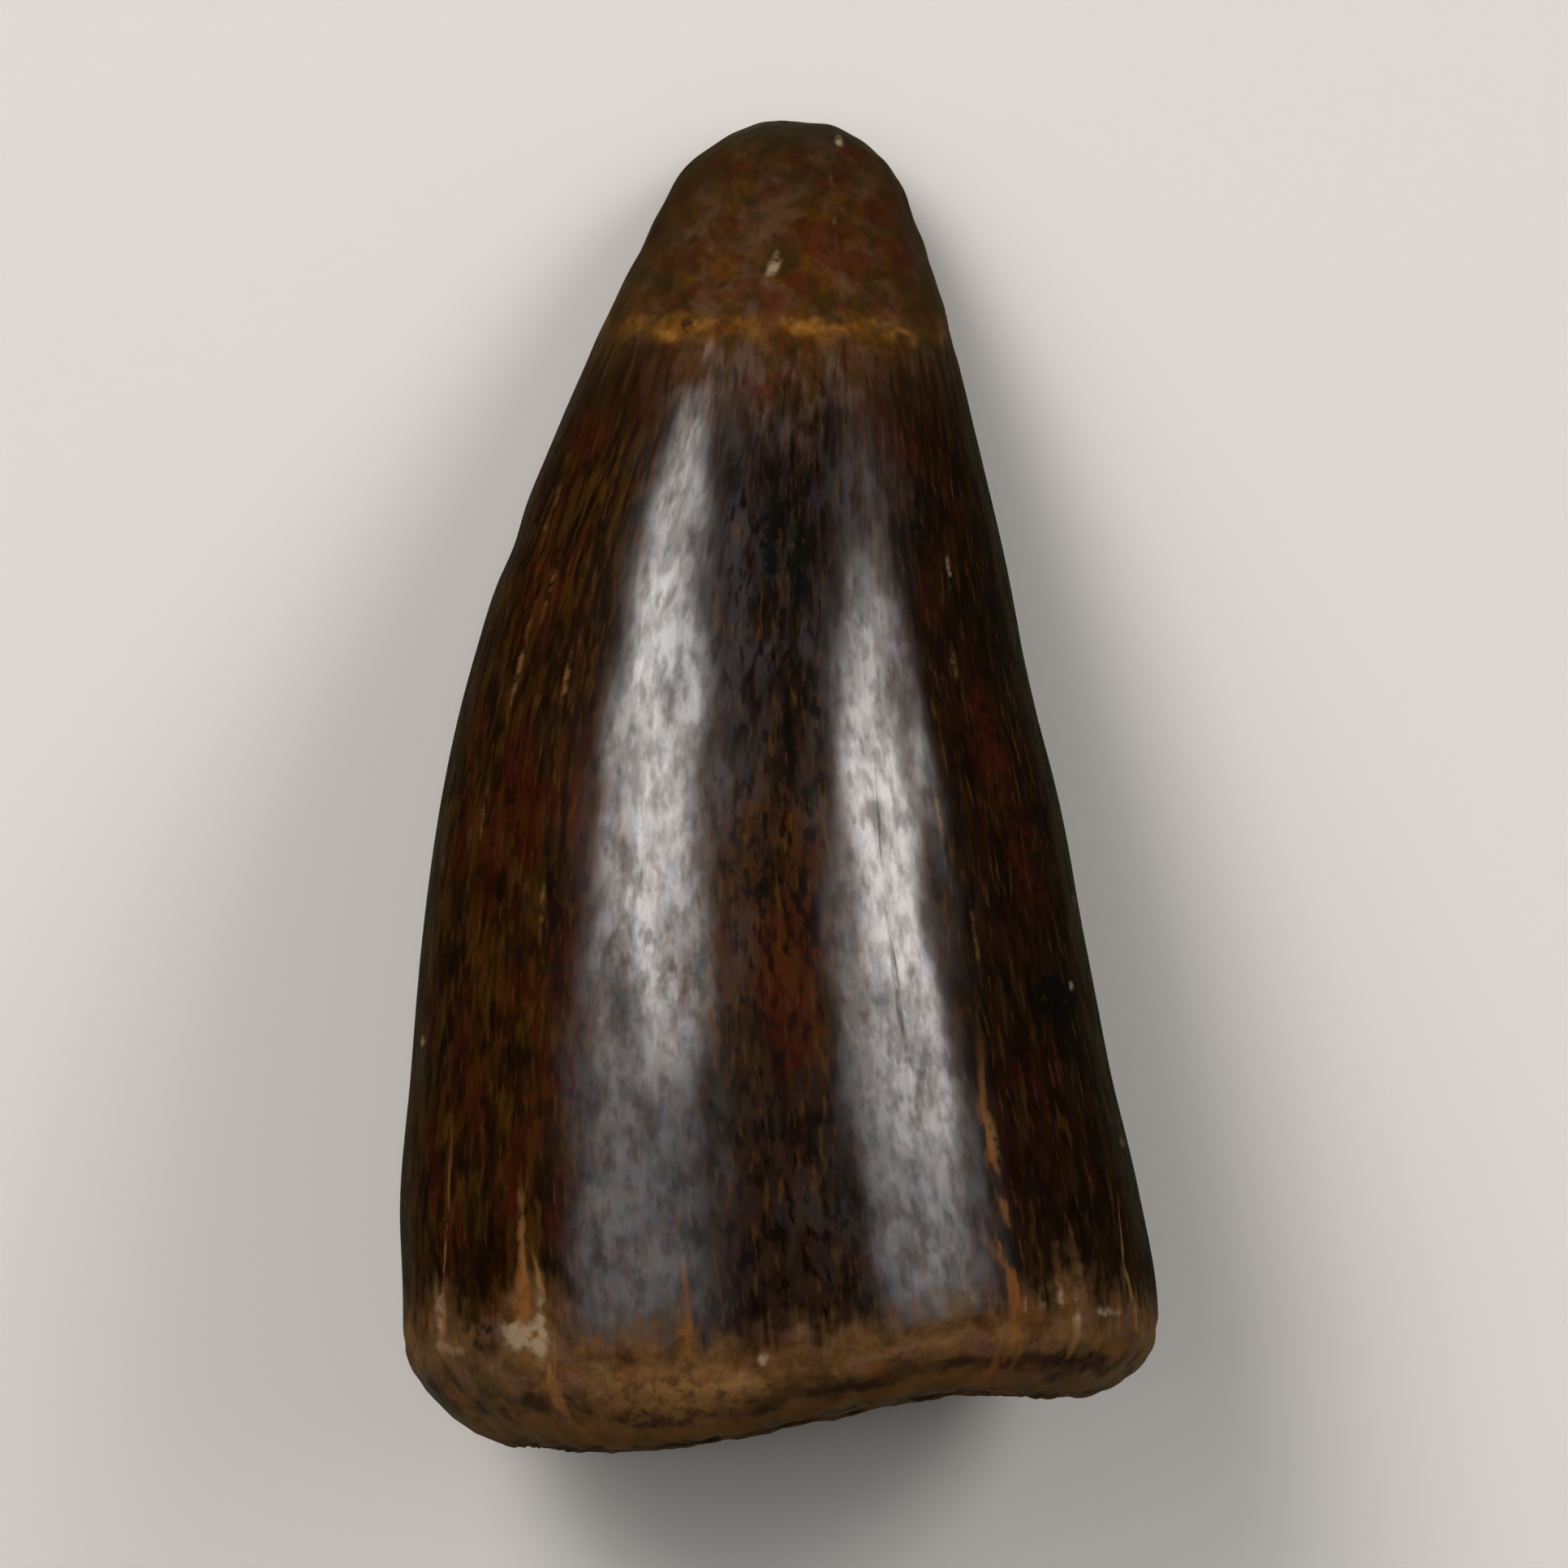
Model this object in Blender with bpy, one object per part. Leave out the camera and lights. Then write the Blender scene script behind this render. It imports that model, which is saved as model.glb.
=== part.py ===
"""Fossil crocodile tooth crown, lying on its flatter inner side.

X runs across the tooth, +Y from the broken base to the tip, and +Z up through the outer face.
The tooth is one solid: stacked rings run from the worn tip down the crown, round the base and
up into the shallow pulp cavity. Lengths in the constants are in millimetres, and heights are
measured along the tooth from the lowest point of its base.
"""

import math

import bmesh
import bpy

MM = 0.001

LENGTH = 32.0
COLUMNS = 72

# Height, then how far the crown reaches to the left, to the right, up, and down to its resting side.
PROFILE = [
    (0.0, 9.00, 9.16, 13.95, 0.20),
    (3.7, 8.98, 9.08, 14.20, -0.12),
    (6.0, 9.03, 8.70, 14.10, -0.14),
    (9.1, 8.77, 7.95, 13.70, 0.06),
    (12.2, 8.51, 7.36, 13.10, 0.34),
    (15.4, 8.08, 6.76, 12.30, 0.52),
    (18.5, 7.40, 6.00, 11.25, 0.58),
    (21.6, 6.44, 5.37, 9.90, 0.46),
    (24.7, 5.15, 4.64, 8.25, 0.22),
    (27.8, 3.85, 3.89, 6.40, -0.08),
    (29.4, 3.05, 3.36, 5.35, -0.14),
    (32.0, 1.83, 2.52, 3.75, 0.10),
]
WIDEST_LEVEL = 0.44
LOWER_FULLNESS = 2.35

# The worn tip: the stretch over which it rounds, how flat its top is, how full its shoulders are
# on average and how much fuller on the right, where its peak is, and how its top slopes to the right.
TIP_ROUND = 2.4
TIP_FLATNESS = 3.0
TIP_FULLNESS = 2.9
TIP_FULLER_RIGHT = 0.7
TIP_PEAK_X = -0.2
TIP_SLOPE = 0.08
TIP_ROWS = 9

# The two cutting edges, low and worn, run up the sides a little below the widest level. They
# rise out of the crown near its base and are worn away near its tip.
EDGE_ANGLES = (-10.0, 190.0)
EDGE_HEIGHT = 0.13
EDGE_SPREAD = 5.0
EDGE_STARTS = (3.0, 6.0)
EDGE_ENDS = (25.5, 28.5)

# A small nick in the left side near the tip, with its spread round and along the tooth.
NICK_ANGLE, NICK_ANGLE_SPREAD = 178.0, 16.0
NICK_HEIGHT, NICK_HEIGHT_SPREAD = 21.75, 0.75
NICK_DEPTH = 0.17

# Lower border of the enamel: its mean height at each angle round the tooth, from the right side
# over the top, and the chips in it as angle, rise and half width.
BORDER_LEVEL = [
    (0, 3.3), (30, 3.45), (50, 3.55), (66, 3.2), (80, 2.7), (95, 2.52), (120, 2.58), (145, 2.75),
    (170, 2.95), (200, 2.8), (230, 2.6), (260, 2.75), (290, 2.5), (325, 2.9),
]
BORDER_CHIPS = [
    (40.0, 1.0, 4.0), (131.0, 2.0, 5.5), (153.0, 0.9, 4.0), (214.0, 1.2, 6.0), (275.0, 0.8, 5.0),
    (333.0, 1.1, 5.0),
]
ENAMEL_STEP = 0.12

# The base was broken off and worn: it climbs from the left to the right, turns up a little at the
# far left, leans so that its lower rim is the longer one, and is slightly lumpy.
BASE_START = -0.032
BASE_CLIMB = 1.28
BASE_CLIMB_FROM, BASE_CLIMB_TO = -3.4, 5.0
BASE_LEFT_TURN, BASE_LEFT_FROM, BASE_LEFT_SPAN = 0.42, -4.3, 4.7
BASE_LEAN = 0.03
BASE_LUMP = 0.07
BASE_LUMP_ACROSS, BASE_LUMP_UP = 1.1, 0.9

# Rounding of the base rim on the left, on the right, on the outer face and on the resting side,
# how fast it changes between them, and how far the rounding is worn back from a circle. At least
# ROOT_WALL of the root's wall stands between the rounding and the enamel.
RIM_LEFT, RIM_RIGHT, RIM_OUTER, RIM_RESTING = 2.6, 1.5, 1.1, 1.7
RIM_CHANGE = 1.3
RIM_WORN = 1.3
RIM_ROWS = 7
ROOT_WALL = 0.1

# The pulp cavity: its mouth as a share of the base, the width and the depth of its rounded lip,
# its depth, and how square its hollow is.
CAVITY_MOUTH = 0.56
CAVITY_LIP_WIDTH = 0.06
CAVITY_LIP_DEPTH = 0.25
CAVITY_DEPTH = 3.4
CAVITY_FULLNESS = 2.5
CAVITY_ROWS = 7

CROWN_ROWS = 27
ROOT_ROWS = 3


def smooth_curve(points, at, period=None):
    """Value at one place of a smooth curve through a few points, given as (place, value, ...)."""
    if period:
        at %= period
        first, last = points[0], points[-1]
        before = (last[0] - period, *last[1:])
        after = (first[0] + period, *first[1:])
        points = [before, *points, after]
    at = min(max(at, points[0][0]), points[-1][0])
    index = max(i for i, point in enumerate(points[:-1]) if point[0] <= at)
    low, high = points[index], points[index + 1]
    span = high[0] - low[0]
    share = (at - low[0]) / span
    before = points[max(index - 1, 0)]
    after = points[min(index + 2, len(points) - 1)]
    found = []
    for part in range(1, len(low)):
        slope_in = (high[part] - before[part]) / (high[0] - before[0]) * span
        slope_out = (after[part] - low[part]) / (after[0] - low[0]) * span
        found.append(
            low[part] * (1 + 2 * share) * (1 - share) ** 2
            + slope_in * share * (1 - share) ** 2
            + high[part] * share**2 * (3 - 2 * share)
            + slope_out * share**2 * (share - 1)
        )
    return found


def smooth_step(value, low, high):
    """0 below low, 1 above high, and a smooth rise between them."""
    share = min(max((value - low) / (high - low), 0.0), 1.0)
    return share * share * (3 - 2 * share)


def bump(distance, spread):
    """1 at no distance, falling to nothing past a few spreads."""
    return math.exp(-((distance / spread) ** 2))


def angle_between(first, second):
    """The smaller angle between two directions, in degrees."""
    return abs((first - second + 180) % 360 - 180)


def signed_power(value, power):
    return math.copysign(abs(value) ** power, value)


def tip_rounding(angle, height):
    """How much of the full section is left at an angle and a height in the worn tip."""
    share = (height - (LENGTH - TIP_ROUND)) / TIP_ROUND
    if share <= 0:
        return 1.0
    fullness = TIP_FULLNESS + TIP_FULLER_RIGHT * math.cos(math.radians(angle))
    return max(1 - share**TIP_FLATNESS, 0.0) ** (1 / fullness)


def edge_relief(angle, height):
    """Height of the two cutting edges above the crown, with the nick taken off the left side."""
    ridge = sum(bump(angle_between(angle, at), EDGE_SPREAD) for at in EDGE_ANGLES)
    fade = smooth_step(height, *EDGE_STARTS) * (1 - smooth_step(height, *EDGE_ENDS))
    nick_round = bump(angle_between(angle, NICK_ANGLE), NICK_ANGLE_SPREAD)
    nick_along = bump(height - NICK_HEIGHT, NICK_HEIGHT_SPREAD)
    return EDGE_HEIGHT * ridge * fade - NICK_DEPTH * nick_round * nick_along


def section_point(angle, height, share, relief=0.0):
    """A point of the cross section at a height: share 1 is on its outline, 0 at its middle."""
    left, right, top, bottom = smooth_curve(PROFILE, height)
    middle_x = (right - left) / 2
    middle_z = bottom + WIDEST_LEVEL * (top - bottom)
    half_width = (right + left) / 2
    turn = math.radians(angle)
    if math.sin(turn) >= 0:
        fullness, half_depth = 2.0, top - middle_z
    else:
        fullness, half_depth = LOWER_FULLNESS, middle_z - bottom
    out_x = half_width * signed_power(math.cos(turn), 2 / fullness)
    out_z = half_depth * signed_power(math.sin(turn), 2 / fullness)
    reach = math.hypot(out_x, out_z)
    scale = share * tip_rounding(angle, height) + relief / reach
    return middle_x + out_x * scale, middle_z + out_z * scale, reach


def base_height(x, z):
    """Height of the worn base surface at a place across it."""
    climb = BASE_CLIMB * smooth_step(x, BASE_CLIMB_FROM, BASE_CLIMB_TO)
    left = max((BASE_LEFT_FROM - x) / BASE_LEFT_SPAN, 0.0)
    lumps = math.sin(BASE_LUMP_ACROSS * x) * math.cos(BASE_LUMP_UP * z)
    return BASE_START + climb + BASE_LEFT_TURN * left**2 + BASE_LEAN * z + BASE_LUMP * lumps


def border_height(angle):
    """Height of the enamel's lower border at an angle round the tooth."""
    level = smooth_curve(BORDER_LEVEL, angle, period=360)[0]
    chips = sum(rise * bump(angle_between(angle, at), width) for at, rise, width in BORDER_CHIPS)
    return level + chips


def rim_rounding(angle):
    """Radius of the worn rim at an angle round the tooth."""
    across, rise = math.cos(math.radians(angle)), math.sin(math.radians(angle))
    side = RIM_RIGHT if across > 0 else RIM_LEFT
    facing = RIM_OUTER if rise > 0 else RIM_RESTING
    return side + (facing - side) * abs(rise) ** RIM_CHANGE


def base_point(angle, share, depth):
    """A point at a depth above the base surface, on the section shrunk to a share."""
    x, z, _ = section_point(angle, 1.0, share)
    height = base_height(x, z) + depth
    x, z, _ = section_point(angle, max(height, 0.0), share)
    return x, height, z


def tooth_rings():
    """Every ring of points from just below the tip to the cavity's floor."""
    angles = [360 * i / COLUMNS for i in range(COLUMNS)]
    crown_top = LENGTH - TIP_ROUND
    rings = []
    for row in range(TIP_ROWS - 1, 0, -1):
        height = crown_top + TIP_ROUND * math.sin(math.pi / 2 * row / TIP_ROWS)
        rings.append([on_crown(angle, height) for angle in angles])
    for row in range(CROWN_ROWS, -1, -1):
        share = row / CROWN_ROWS
        heights = [border_height(angle) for angle in angles]
        rings.append([
            on_crown(angle, border + (crown_top - border) * share)
            for angle, border in zip(angles, heights)
        ])
    for row in range(ROOT_ROWS):
        rings.append([on_root(angle, 1 - row / ROOT_ROWS) for angle in angles])
    for row in range(RIM_ROWS + 1):
        rings.append([on_rim(angle, math.pi / 2 * row / RIM_ROWS) for angle in angles])
    rings.append([base_point(angle, CAVITY_MOUTH * (1 + CAVITY_LIP_WIDTH), 0.0) for angle in angles])
    for row in range(CAVITY_ROWS):
        turn = math.pi / 2 * row / CAVITY_ROWS
        share = CAVITY_MOUTH * math.cos(turn) ** (2 / CAVITY_FULLNESS)
        deep = math.sin(turn) ** (2 / CAVITY_FULLNESS)
        depth = CAVITY_LIP_DEPTH + (CAVITY_DEPTH - CAVITY_LIP_DEPTH) * deep
        rings.append([base_point(angle, share, depth) for angle in angles])
    return rings


def on_crown(angle, height):
    """A point on the enamel, lowered on the right of the sloping tip."""
    x, z, _ = section_point(angle, height, 1.0, edge_relief(angle, height))
    slope = TIP_SLOPE * smooth_step(height, LENGTH - TIP_ROUND, LENGTH)
    return x, height - slope * max(x - TIP_PEAK_X, 0.0), z


def on_root(angle, share):
    """A point on the bare root below the enamel's step: share 1 at the step, 0 at the rim."""
    _, rim_start, _ = on_rim(angle, 0.0)
    step_foot = border_height(angle) - ENAMEL_STEP
    height = rim_start + (step_foot - rim_start) * share
    x, z, _ = section_point(angle, height, 1.0, -ENAMEL_STEP)
    return x, height, z


def on_rim(angle, turn):
    """A point on the worn rim: turn runs from the root's wall, at 0, to the base, at a right angle."""
    radius = rim_rounding(angle)
    x, z, reach = section_point(angle, 1.0, 1.0)
    room = border_height(angle) - ENAMEL_STEP - ROOT_WALL - base_height(x, z)
    inward = radius * (1 - max(math.cos(turn), 0.0) ** RIM_WORN)
    upward = min(radius, room) * (1 - math.sin(turn) ** RIM_WORN)
    return base_point(angle, 1 - (ENAMEL_STEP + inward) / reach, upward)


def add_tooth():
    """One closed mesh from the rings, with the tip and the cavity's floor drawn to a point."""
    rings = tooth_rings()
    _, tip_z, _ = section_point(0.0, LENGTH, 0.0)
    tip = (TIP_PEAK_X, LENGTH, tip_z)
    floor_x, floor_z, _ = section_point(0.0, CAVITY_DEPTH, 0.0)
    floor = (floor_x, base_height(floor_x, floor_z) + CAVITY_DEPTH, floor_z)
    middle = box_middle([tip] + [point for ring in rings for point in ring])
    mesh = bpy.data.meshes.new("tooth")
    shape = bmesh.new()
    grid = [[add_point(shape, point, middle) for point in ring] for ring in rings]
    for ring, following in zip(grid, grid[1:]):
        for i in range(COLUMNS):
            j = (i + 1) % COLUMNS
            shape.faces.new((ring[i], ring[j], following[j], following[i]))
    close_ring(shape, grid[0], add_point(shape, tip, middle), turned=True)
    close_ring(shape, grid[-1], add_point(shape, floor, middle), turned=False)
    bmesh.ops.recalc_face_normals(shape, faces=shape.faces)
    bmesh.ops.triangulate(shape, faces=shape.faces)
    shape.to_mesh(mesh)
    shape.free()
    mesh.shade_smooth()
    mesh.set_sharp_from_angle(angle=math.radians(40))
    tooth = bpy.data.objects.new("tooth", mesh)
    bpy.context.scene.collection.objects.link(tooth)
    return tooth


def box_middle(points):
    """The middle of the box round all the points, across and along the tooth."""
    return [(min(values) + max(values)) / 2 for values in list(zip(*points))[:2]]


def add_point(shape, point, middle):
    """Adds a point in metres, with the origin under the middle and the lowest side cut flat."""
    x, height, z = point
    return shape.verts.new(((x - middle[0]) * MM, (height - middle[1]) * MM, max(z, 0.0) * MM))


def close_ring(shape, ring, point, turned):
    """Fills a ring with a fan of triangles round one point."""
    for i, vertex in enumerate(ring):
        following = ring[(i + 1) % len(ring)]
        shape.faces.new((following, vertex, point) if turned else (vertex, following, point))


def enamel_material():
    """Dark, polished fossil enamel."""
    material = bpy.data.materials.new("fossil_enamel")
    material.use_nodes = True
    shader = material.node_tree.nodes["Principled BSDF"]
    shader.inputs["Base Color"].default_value = (0.035, 0.015, 0.005, 1.0)
    shader.inputs["Roughness"].default_value = 0.25
    shader.inputs["Metallic"].default_value = 0.0
    return material


def build():
    for item in list(bpy.data.objects):
        bpy.data.objects.remove(item)
    tooth = add_tooth()
    tooth.data.materials.append(enamel_material())


build()
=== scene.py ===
import functools
import math

import bpy
import numpy as np
from mathutils import Matrix, Vector


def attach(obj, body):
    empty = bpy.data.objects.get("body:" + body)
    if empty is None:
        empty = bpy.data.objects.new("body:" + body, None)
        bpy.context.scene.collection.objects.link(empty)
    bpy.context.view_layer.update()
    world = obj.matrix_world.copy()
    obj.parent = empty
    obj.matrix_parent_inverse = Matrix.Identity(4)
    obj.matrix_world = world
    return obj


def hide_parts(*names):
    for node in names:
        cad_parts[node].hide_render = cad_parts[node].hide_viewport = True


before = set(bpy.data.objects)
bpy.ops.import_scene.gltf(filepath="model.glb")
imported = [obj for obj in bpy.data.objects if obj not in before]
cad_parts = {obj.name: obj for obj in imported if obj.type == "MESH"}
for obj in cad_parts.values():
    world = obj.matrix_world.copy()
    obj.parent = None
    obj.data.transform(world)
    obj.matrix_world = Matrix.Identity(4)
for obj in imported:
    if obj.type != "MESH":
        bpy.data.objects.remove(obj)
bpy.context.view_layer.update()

mm = 0.001


# The tooth's shape, in millimetres. Heights run from the lowest point of the base to the tip, and angles in
# degrees: 0 is the right side, 90 the outer face, 180 the left, 270 the side that it lies on.
toothForm = {
    # height, then the reach to the left, to the right, up, and down to the resting side
    "profile": [
        (0.0, 9.00, 9.16, 13.95, 0.20),
        (3.7, 8.98, 9.08, 14.20, -0.12),
        (6.0, 9.03, 8.70, 14.10, -0.14),
        (9.1, 8.77, 7.95, 13.70, 0.06),
        (12.2, 8.51, 7.36, 13.10, 0.34),
        (15.4, 8.08, 6.76, 12.30, 0.52),
        (18.5, 7.40, 6.00, 11.25, 0.58),
        (21.6, 6.44, 5.37, 9.90, 0.46),
        (24.7, 5.15, 4.64, 8.25, 0.22),
        (27.8, 3.85, 3.89, 6.40, -0.08),
        (29.4, 3.05, 3.36, 5.35, -0.14),
        (32.0, 1.83, 2.52, 3.75, 0.10),
    ],
    "length": 32.0,
    "widestLevel": 0.44,
    "lowerFullness": 2.35,
    "tipRound": 2.4, "tipFlatness": 3.0, "tipFullness": 2.9, "tipFullerRight": 0.7,
    "tipPeakX": -0.2, "tipSlope": 0.08,
    "edgeAngles": (-10.0, 190.0), "edgeHeight": 0.13, "edgeSpread": 5.0,
    "edgeStarts": (3.0, 6.0), "edgeEnds": (25.5, 28.5),
    "nickAngle": 178.0, "nickAngleSpread": 16.0,
    "nickHeight": 21.75, "nickHeightSpread": 0.75, "nickDepth": 0.17,
    # the enamel's lower border: angle and level, and its chips as angle, rise and half width
    "borderLevel": [
        (0, 3.3), (30, 3.45), (50, 3.55), (66, 3.2), (80, 2.7), (95, 2.52), (120, 2.58), (145, 2.75),
        (170, 2.95), (200, 2.8), (230, 2.6), (260, 2.75), (290, 2.5), (325, 2.9),
    ],
    "borderChips": [
        (40.0, 0.8, 4.0), (131.0, 1.6, 5.0), (153.0, 0.9, 4.0), (214.0, 1.2, 6.0), (275.0, 0.8, 5.0),
        (333.0, 1.1, 5.0), (104.4, 0.5, 1.4), (37.5, 0.5, 1.2), (44.5, -0.35, 1.5),
    ],
    "enamelStep": 0.07, "stepSpread": 0.4,
    "baseStart": -0.032, "baseClimb": 1.28, "baseClimbFrom": -3.4, "baseClimbTo": 5.0,
    "baseLeftTurn": 0.42, "baseLeftFrom": -4.3, "baseLeftSpan": 4.7,
    "baseLean": 0.03, "baseLump": 0.07, "baseLumpAcross": 1.1, "baseLumpUp": 0.9,
    "rimLeft": 2.6, "rimRight": 1.5, "rimOuter": 1.1, "rimResting": 1.7,
    "rimChange": 1.3, "rimWorn": 1.3, "rootWall": 0.1,
    "cavityMouth": 0.56, "cavityLipWidth": 0.06, "cavityLipDepth": 0.25,
    "cavityDepth": 3.4, "cavityFullness": 2.5,
    "cracksEnd": (0.5, 1.0), "crackNarrowing": 0.6, "grainRadius": 8.0,
    # the zones past which the inside is bare, and how far it counts as below the border; where the marks end
    "bareZones": (1.0, 1.3), "bareBelow": 8.0, "marksAround": (-0.1, 0.05), "marksEnd": (0.9, 1.1),
}

# The grid: columns round the tooth, crowded on the outer face and at the cracks, and rows down each zone.
toothGrid = {
    "columns": 432,
    "outerCrowding": 0.9, "crackCrowding": 2.2, "crackReach": 2.5,
    "tipRows": 30, "crownRows": 136, "stepRows": 5, "rootRows": 8, "rimRows": 15, "baseRows": 14,
    "cavityRows": 20,
}

# Fine relief, in millimetres. Each kind: how high it stands, its seed, how many waves, their least and
# greatest length, and how far they are drawn out along the tooth.
toothRelief = {
    "flutes": 0.008, "fluteSeed": 11, "fluteCount": 6, "flutesRound": (5, 11), "flutesSlant": 0.012,
    "waves": {
        "striae": (0.0013, 12, 60, (0.45, 1.5), 4.5),
        "dents": (0.0085, 13, 40, (1.1, 4.5), 1.9),
        "tipWear": (0.022, 14, 26, (0.7, 2.4), 1.0),
        "dentineGrain": (0.016, 15, 30, (0.45, 1.6), 1.0),
        "brokenLumps": (0.075, 16, 22, (0.9, 3.2), 1.0),
        "growthLines": (0.03, 17, 12, (3, 7), 1.0),
        "cavityLumps": (0.13, 18, 22, (0.8, 2.6), 1.0),
    },
    "lumpLevel": 0.8, "growthLineCount": 5.0,
    # the heights, and for the inside of the base the zones, between which a kind rises and falls
    "ridged": ((2.5, 5.0), (24.0, 27.5)), "tipWorn": (24.5, 28.0),
    "zones": {
        "brokenLumps": ((0.5, 1.1), (2.0, 2.3)), "growthLines": ((1.0, 1.2), (1.85, 2.0)),
        "cavityLumps": ((2.1, 2.6), (2.75, 2.97)),
    },
}

# Each crack: its route as heights and places across, the heights between which it shows, its fading at each
# end, how strong, deep and wide it is, how pale its filling is, and what is special.
crackColumns = ("route", "shows", "fades", "strength", "depth", "width", "pale", "special")
toothCracks = {name: dict(zip(crackColumns, row)) for name, row in {
    "crackFarLeft": ([(2.6, -8.06), (4.5, -7.97), (6.0, -7.86), (12.0, -7.62)], (2.5, 5.0), (0.3, 4.0),
                     0.75, 0.02, 0.24, 0.2),
    "crackWedgeLeft": ([(2.9, -6.12), (5.0, -6.10), (6.0, -6.08), (9.0, -5.98)], (3.2, 5.4), (0.3, 2.4),
                       0.75, 0.02, 0.34, 0.15),
    "crackWedgeRight": ([(0.5, -5.25), (1.65, -5.47), (2.8, -5.33), (3.5, -5.47), (4.5, -5.74), (5.4, -5.92)],
                        (0.5, 4.4), (0.4, 1.0), 0.7, 0.03, 0.26, 0.3),
    "crackMiddle": ([(2.2, -2.22), (3.9, -2.15), (5.4, -2.40), (7.5, -2.42)], (2.5, 3.6), (0.4, 2.8),
                    0.45, 0.004, 0.28, 0.0),
    "crackRight": ([(1.6, 5.5), (3.2, 5.56), (3.8, 5.68), (4.6, 5.38), (6.0, 5.27), (8.0, 4.95),
                    (11.5, 4.66)], (2.0, 7.6), (0.5, 3.2), 0.7, 0.006, 0.5, 0.1),
    "crackRightDash": ([(1.5, 7.12), (3.0, 7.10), (4.4, 7.08)], (1.7, 4.1), (0.3, 0.4), 0.5, 0.02, 0.22, 0.4),
    "crackFarRight": ([(2.8, 8.66), (4.0, 8.42), (4.6, 8.27), (6.3, 8.12), (9.0, 7.7)], (3.0, 5.0),
                      (0.2, 2.4), 0.55, 0.015, 0.18, 0.5),
    "crackUnderLeft": ([(1.6, -4.6), (6.0, -4.3), (12.0, -4.1)], (2.0, 8.0), (0.4, 3.0),
                       0.8, 0.04, 0.2, 0.3, "under"),
    "crackUnderRight": ([(1.8, 6.4), (5.0, 6.1), (9.0, 5.6)], (1.8, 6.0), (0.4, 2.0),
                        0.8, 0.04, 0.22, 0.5, "under"),
    "hairline": ([(9.6, 3.02), (11.8, 2.76), (14.4, 2.45), (19.2, 2.22)], (10.4, 14.6), (0.8, 3.4),
                 0.8, 0.012, 0.075, 0.0, "dark"),
}.items()}

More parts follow.
